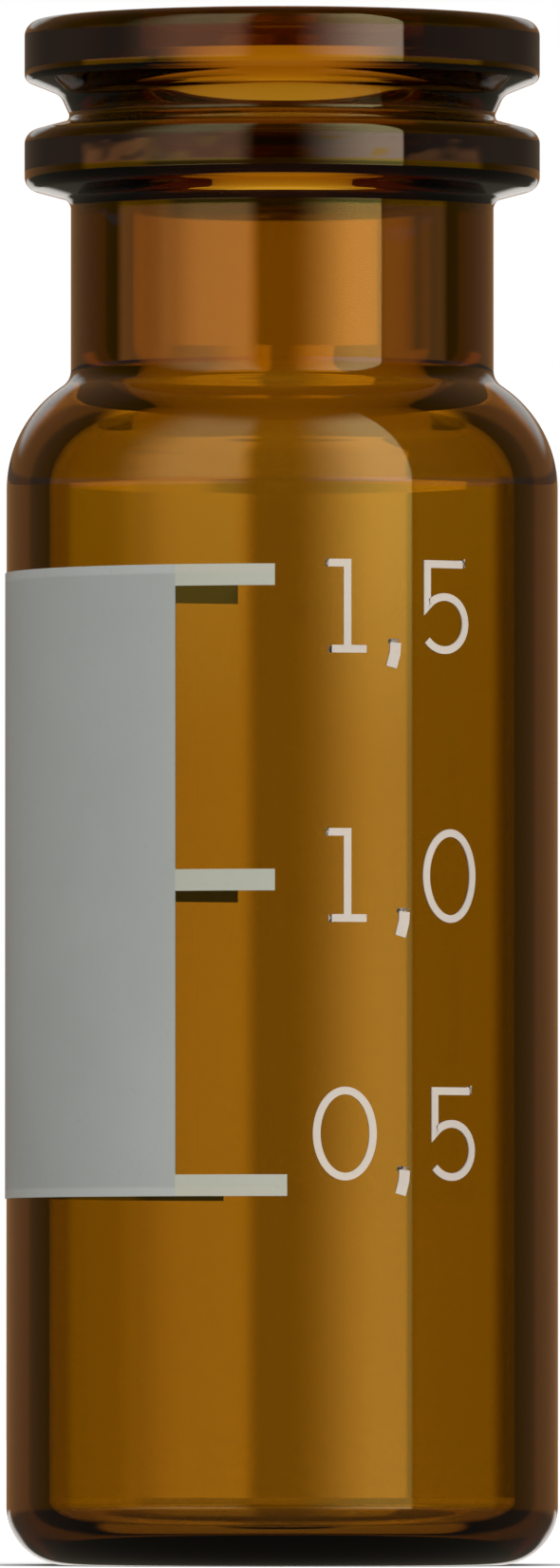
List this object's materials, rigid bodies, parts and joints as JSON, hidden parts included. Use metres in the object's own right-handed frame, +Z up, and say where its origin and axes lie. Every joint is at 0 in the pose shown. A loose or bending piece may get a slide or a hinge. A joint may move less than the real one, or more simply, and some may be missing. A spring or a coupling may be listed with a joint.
{
  "type": "glass sample vial",
  "caption": "Open amber glass vial with a snap-ring finish, flat base, and a fired enamel writing patch with a volume scale.",
  "frame": {"origin": "centre of the flat base, on the surface that the vial stands on", "axes": "+Z up the axis of the tube to the mouth; -Y is the side with the numerals; the writing patch is centred close to -X"},
  "size_m": [0.0116, 0.0116, 0.0325],
  "materials": {
    "amber_glass": "clear amber, fire polished",
    "patch_enamel": "matt fired enamel, slightly rough to take pencil",
    "numeral_enamel": "matt fired enamel"
  },
  "bodies": {
    "root": {"vial_body": "amber_glass", "writing_patch": "patch_enamel", "scale_numerals": "numeral_enamel"}
  },
  "joints": []
}
